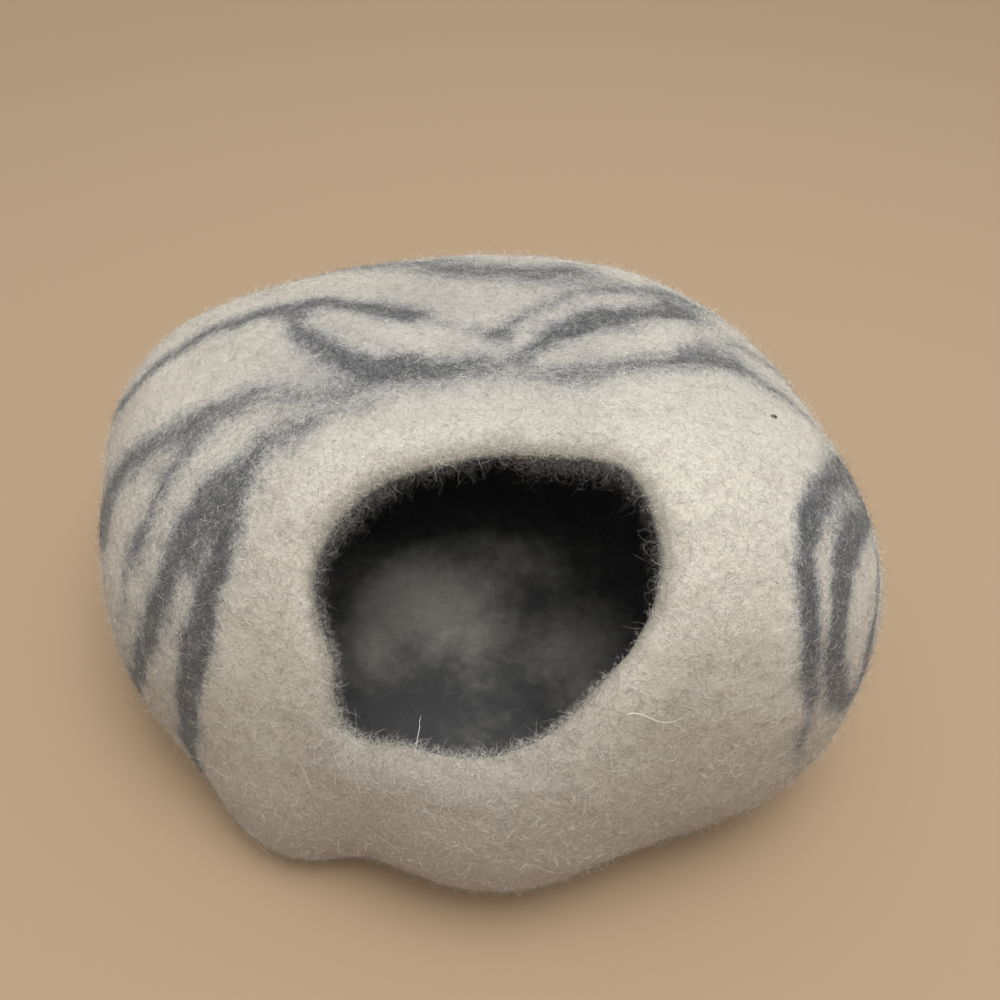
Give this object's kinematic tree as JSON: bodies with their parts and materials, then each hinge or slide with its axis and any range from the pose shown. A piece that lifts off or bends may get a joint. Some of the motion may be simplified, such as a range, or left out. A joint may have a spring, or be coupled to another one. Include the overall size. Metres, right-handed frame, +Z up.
{
  "type": "felt cat cave",
  "caption": "Squat one-piece felted wool cat cave with a rounded slanting mouth at its front and top, a soft sagging crown and a flat sole.",
  "frame": {"origin": "on the floor under the middle of the cave's box", "axes": "+Z up, the mouth looks towards -Y and upwards, +X to the right as seen when looking into the mouth"},
  "size_m": [0.5064, 0.4342, 0.2619],
  "materials": {
    "wool_felt": "matt, fuzzy wet-felted wool"
  },
  "bodies": {
    "root": {"felt_cave": "wool_felt"}
  },
  "joints": []
}
